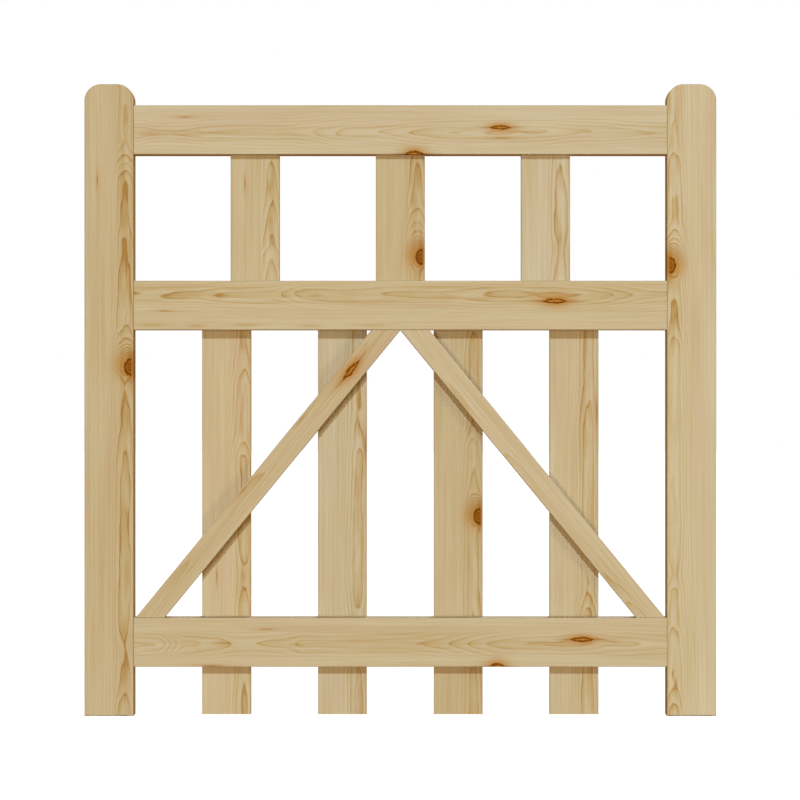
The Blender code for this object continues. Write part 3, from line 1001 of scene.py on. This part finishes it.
def timber_finish(name, node):
    """Planed softwood: one solid log pattern, read from the timber's own place in the log.

    The fraction of the ring count, swirled round each knot, gives pale early wood that darkens
    slowly into tan late wood and then stops sharply. A tan column along the log's heart, long
    streaks and clouds, short flecks and fine fibres lie over it. The knots come last, and then
    the timber's own tone.
    """
    grain = GRAIN[node]
    finish = Finish(name)
    across, depth, along, length = timber_place(finish, node)
    place = (across, depth, along)

    def noise(across_size, along_size, detail=2.0, roughness=0.5, shift=0.0):
        """Noise in patches of a given size across and along the grain."""
        offset = grain["seed"] * SEED_STEP + shift
        patch = finish.vector(
            across / across_size + offset,
            depth / across_size + offset * 0.7,
            along / along_size + offset * 1.3,
        )
        return finish.noise(patch, detail, roughness)

    rings, from_heart = ring_count(finish, place, length, grain, noise)
    knots = [knot_places(place, knot, noise) for knot in grain["knots"]]
    for _, swell, _, _, is_round in knots:
        rings = rings - swell * (ROUND_SWIRL if is_round else EYE_SWIRL)

    part = rings.math("FRACT")
    late = part.rise(0.20, 0.90) - part.rise(0.93, 1.0)
    edge = part.rise(0.78, 0.90) - part.rise(0.92, 0.99)
    each = finish.node("ShaderNodeTexWhiteNoise", {"noise_dimensions": "1D"}, {"W": rings.math("FLOOR")})
    patchy = noise(9, 160, 2.0, 0.6, 5.0)
    strength = (each * 0.50 + 0.40) * (patchy * 1.1 + 0.35)
    clear = (1 - abs(from_heart).rise(9.0, 24.0)) * 0.75 + 0.42
    for _, swell, _, _, is_round in knots:
        strength = strength + swell * (1.5 if is_round else 0.1)
        clear = clear + swell * (1.4 if is_round else 0.0)

    fibre = noise(0.55, 46, 3.0, 0.62, 7.0)
    streak = noise(3.2, 210, 2.5, 0.55, 11.0)
    cloud = noise(26, 240, 2.0, 0.5, 13.0)
    fleck = noise(1.7, 15, 2.0, 0.65, 31.0)
    column = (1 - abs(from_heart).rise(4.0, 14.0)) * noise(8, 55, 2.0, 0.5, 37.0).rise(0.38, 0.62)
    contrast = grain.get("contrast", 1.0)
    tan = (late + edge) * strength * clear * (LINE_WEIGHT * contrast)
    tan = tan + column * (contrast * contrast * COLUMN_WEIGHT) + (fleck - 0.5) * FLECK_WEIGHT
    tan = tan + (streak - 0.5) * STREAK_WEIGHT + (cloud - 0.5) * CLOUD_WEIGHT
    tan = tan + (fibre - 0.5) * FIBRE_WEIGHT + PALE_START
    for mark in grain["streaks"]:
        tan = tan + hump((across, along), mark[:2], mark[2:]) * STAIN_WEIGHT
    colour = finish.ramp(tan.clipped(), TONE_STOPS)

    warm = noise(20, 330, 2.0, 0.5, 19.0).rise(0.5, 0.78)
    cool = noise(24, 260, 2.0, 0.5, 23.0).rise(0.5, 0.80)
    ducts = noise(0.42, 5.5, 0.0, 0.5, 29.0).rise(0.74, 0.80) * late
    colour = finish.stain(warm * 0.35, colour, PINK_TONE)
    colour = finish.stain(cool * 0.30, colour, GREEN_TONE)
    colour = finish.stain(ducts * 0.22, colour, PITCH_TONE)
    colour = resin_marks(finish, colour, place, grain["pitch"], streak)
    colour, covered = knot_marks(finish, colour, across, knots, edge, fibre)

    toned = {0: colour, 1: grain["tone"]}
    colour = finish.node("ShaderNodeVectorMath", {"operation": "MULTIPLY"}, toned)
    shaded = {0: colour, "Scale": fleck * FLECK_SHADE + 0.925}
    colour = finish.node("ShaderNodeVectorMath", {"operation": "SCALE"}, shaded)

    roughness = TIMBER_ROUGHNESS - late * strength * 0.10 + (fibre - 0.5) * 0.12
    height = late * strength * 0.50 + fibre * 0.30
    if covered is not None:
        roughness = roughness - covered * 0.10
        height = height + covered * 0.8
    sockets = {"Strength": TIMBER_BUMP, "Distance": TIMBER_BUMP_HEIGHT, "Height": height}
    finish.link(colour, finish.shader.inputs["Base Color"])
    finish.link(roughness, finish.shader.inputs["Roughness"])
    finish.link(finish.node("ShaderNodeBump", {}, sockets), finish.shader.inputs["Normal"])
    finish.shader.inputs["Specular IOR Level"].default_value = TIMBER_SHEEN
    return finish.material


# Dowels and nails: tones
DOWEL_STOPS = ((0.0, srgb(214, 188, 146)), (0.5, srgb(196, 160, 108)), (1.0, srgb(160, 116, 66)))
ZINC_STOPS = ((0.2, srgb(150, 152, 152)), (0.6, srgb(182, 184, 184)), (1.0, srgb(205, 206, 205)))


def dowel_finish(name, node):
    """Close-grained dowel wood, paler than the frame, with end rings on its sawn face."""
    low, high = (np.array(corner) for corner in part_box(node))
    centre = ((low[0] + high[0]) / 2, high[1], (low[2] + high[2]) / 2)
    finish = Finish(name)
    x, depth, z = finish.object_place(centre)
    wobble = finish.noise(finish.vector(x / 2.6, depth / 30, z / 2.6))
    away = z + 9.0
    radius = (x * x + away * away).math("SQRT")
    part = (radius / 0.9 + wobble * 1.2).math("FRACT")
    late = part.rise(0.35, 0.9) - part.rise(0.93, 1.0)
    fibre = finish.noise(finish.vector(x / 0.25, depth / 8, z / 0.25), 3.0, 0.6)
    colour = finish.ramp((late * 0.40 + fibre * 0.45 + 0.12).clipped(), DOWEL_STOPS)
    finish.link(colour, finish.shader.inputs["Base Color"])
    finish.link(0.52 + fibre * 0.16, finish.shader.inputs["Roughness"])
    sockets = {"Strength": 0.6, "Distance": 0.00008, "Height": fibre + late * 0.4}
    finish.link(finish.node("ShaderNodeBump", {}, sockets), finish.shader.inputs["Normal"])
    finish.shader.inputs["Specular IOR Level"].default_value = 0.30
    return finish.material


def zinc_finish(name):
    """Dull hot-dip zinc: mottled grey crystals, lumpy coating and a fine chequer on the head."""
    finish = Finish(name)
    x, y, z = finish.object_place((0, 0, 0))
    place = finish.vector(x, y, z)
    crystal = finish.node("ShaderNodeTexVoronoi", {"feature": "F1"}, {"Vector": place, "Scale": 1.1}, "Color")
    mottle = finish.noise(finish.vector(x * 1.6, y * 1.6, z * 1.6), 3.0, 0.6)
    grey = finish.node("ShaderNodeSeparateColor", {}, {0: crystal}) * 0.5 + mottle * 0.5
    colour = finish.ramp(grey, ZINC_STOPS)
    rows = abs(((x + z) * 5.2).math("SINE")) * abs(((x - z) * 5.2).math("SINE"))
    lumps = finish.noise(finish.vector(x * 3, y * 3, z * 3), 2.0)
    finish.link(colour, finish.shader.inputs["Base Color"])
    finish.link(0.36 + mottle * 0.26, finish.shader.inputs["Roughness"])
    finish.link(0.9, finish.shader.inputs["Metallic"])
    sockets = {"Strength": 0.5, "Distance": 0.0001, "Height": rows * 0.7 + lumps * 0.5}
    finish.link(finish.node("ShaderNodeBump", {}, sockets), finish.shader.inputs["Normal"])
    return finish.material


# Making the gate


TIMBER_CREASE = 40
FIXING_CREASE = 50
TIMBER_SLOTS = {
    "stile": "frame_timber",
    "rail": "frame_timber",
    "paling": "paling_timber",
    "brace": "brace_timber",
}


def make_timbers():
    """Draw, cut, shade and finish all timbers."""
    for node, grain in GRAIN.items():
        item = body_of_timber(node, grain["seed"])
        shade(item, TIMBER_CREASE)
        item.data.materials.clear()
        item.data.materials.append(timber_finish(node + "_grain", node))
        slot = next(slot for word, slot in TIMBER_SLOTS.items() if word in node)
        fit(item, node)


def make_fixings():
    """Draw and finish all nails and dowels."""
    zinc = zinc_finish("galvanised_zinc")
    for node in FIXINGS:
        start, direction, length = fixing_place(node)
        if node.startswith("dowel_"):
            item = mesh_object(node + "_turned", *join_bodies([dowel_body(start, direction, length)]))
            item.data.materials.append(dowel_finish(node + "_grain", node))
            shade(item, FIXING_CREASE)
            fit(item, node)
        else:
            item = mesh_object(node + "_drawn", *join_bodies([nail_body(start, direction, length)]))
            item.data.materials.append(zinc)
            shade(item, FIXING_CREASE)
            fit(item, node)


# Studio

CAMERA_DISTANCE = 5.5
CAMERA_LENS = 173.8
SENSOR_WIDTH = 36.0
CAMERA_ACROSS = -0.008
CAMERA_HEIGHT = 0.445
AIM_ACROSS = -0.0005
AIM_HEIGHT = 0.4501
SKY_COLOUR = (1.0, 0.56, 0.17, 1.0)
SKY_STRENGTH = 0.30
FLOOR_HALF = 30.0
FLOOR_GLOW = 0.92


def make_camera(front):
    """A long lens square on to the gate, at about half its height."""
    data = bpy.data.cameras.new("camera")
    data.lens = CAMERA_LENS
    data.sensor_width = SENSOR_WIDTH
    data.clip_end = 100.0
    picture_width = CAMERA_DISTANCE * SENSOR_WIDTH / CAMERA_LENS
    data.shift_x = (AIM_ACROSS - CAMERA_ACROSS) / picture_width
    data.shift_y = (AIM_HEIGHT - CAMERA_HEIGHT) / picture_width
    camera = bpy.data.objects.new("camera", data)
    camera.location = (CAMERA_ACROSS, front - CAMERA_DISTANCE, CAMERA_HEIGHT)
    camera.rotation_euler = (math.pi / 2, 0.0, 0.0)
    bpy.context.scene.collection.objects.link(camera)
    bpy.context.scene.camera = camera


def make_lamp(name, bearing, elevation, softness, light):
    """A distant soft lamp. Light is what a face square to the front gets from it, for each colour.

    Bearing is measured from straight in front, to the right, and elevation from level. Softness
    is how wide the lamp looks, in degrees.
    """
    strength = max(light)
    data = bpy.data.lights.new(name, "SUN")
    data.angle = math.radians(softness)
    data.color = [channel / strength for channel in light]
    right, up = math.radians(bearing), math.radians(elevation)
    data.energy = strength * math.pi / (abs(math.cos(right)) * math.cos(up))
    lamp = bpy.data.objects.new(name, data)
    towards = Vector((math.sin(right) * math.cos(up), -math.cos(right) * math.cos(up), math.sin(up)))
    lamp.rotation_euler = towards.to_track_quat("Z", "Y").to_euler()
    bpy.context.scene.collection.objects.link(lamp)


def make_lamps():
    """A crisp key from above, two level fills, and a lamp for the back."""
    make_lamp("key_lamp", -2, 20.5, 3.0, (0.33, 0.43, 0.57))
    make_lamp("left_lamp", -11, -1, 8.0, (0.24, 0.23, 0.22))
    make_lamp("right_lamp", 36, 0, 14.0, (0.11, 0.11, 0.10))
    make_lamp("back_lamp", 172, 27, 16.0, (0.42, 0.50, 0.58))


def make_world():
    """White to the camera, and a dim even sky for the light."""
    world = bpy.data.worlds.new("studio")
    world.use_nodes = True
    bpy.context.scene.world = world
    tree = world.node_tree
    tree.nodes.clear()
    path = tree.nodes.new("ShaderNodeLightPath")
    seen = tree.nodes.new("ShaderNodeBackground")
    seen.inputs["Color"].default_value = (1.0, 1.0, 1.0, 1.0)
    sky = tree.nodes.new("ShaderNodeBackground")
    sky.inputs["Color"].default_value = SKY_COLOUR
    sky.inputs["Strength"].default_value = SKY_STRENGTH
    mix = tree.nodes.new("ShaderNodeMixShader")
    output = tree.nodes.new("ShaderNodeOutputWorld")
    tree.links.new(path.outputs["Is Camera Ray"], mix.inputs[0])
    tree.links.new(sky.outputs[0], mix.inputs[1])
    tree.links.new(seen.outputs[0], mix.inputs[2])
    tree.links.new(mix.outputs[0], output.inputs[0])


def make_floor():
    """A wide white floor that sends no light back up into the timber."""
    half = FLOOR_HALF
    corners = [(-half, -half, 0.0), (half, -half, 0.0), (half, half, 0.0), (-half, half, 0.0)]
    floor = mesh_object("floor", corners, [(0, 1, 2, 3)])
    finish = Finish("white_floor")
    finish.shader.inputs["Base Color"].default_value = (0.5, 0.5, 0.5, 1.0)
    finish.shader.inputs["Roughness"].default_value = 1.0
    finish.shader.inputs["Specular IOR Level"].default_value = 0.0
    finish.shader.inputs["Emission Color"].default_value = (1.0, 1.0, 1.0, 1.0)
    finish.shader.inputs["Emission Strength"].default_value = FLOOR_GLOW
    floor.data.materials.append(finish.material)
    floor.visible_diffuse = False
    floor.visible_glossy = False
    floor.visible_shadow = False


make_timbers()
make_fixings()
make_floor()
make_world()
make_lamps()
make_camera(cad_box[0][1])
bpy.context.scene.view_settings.view_transform = "Standard"
bpy.context.scene.view_settings.look = "None"
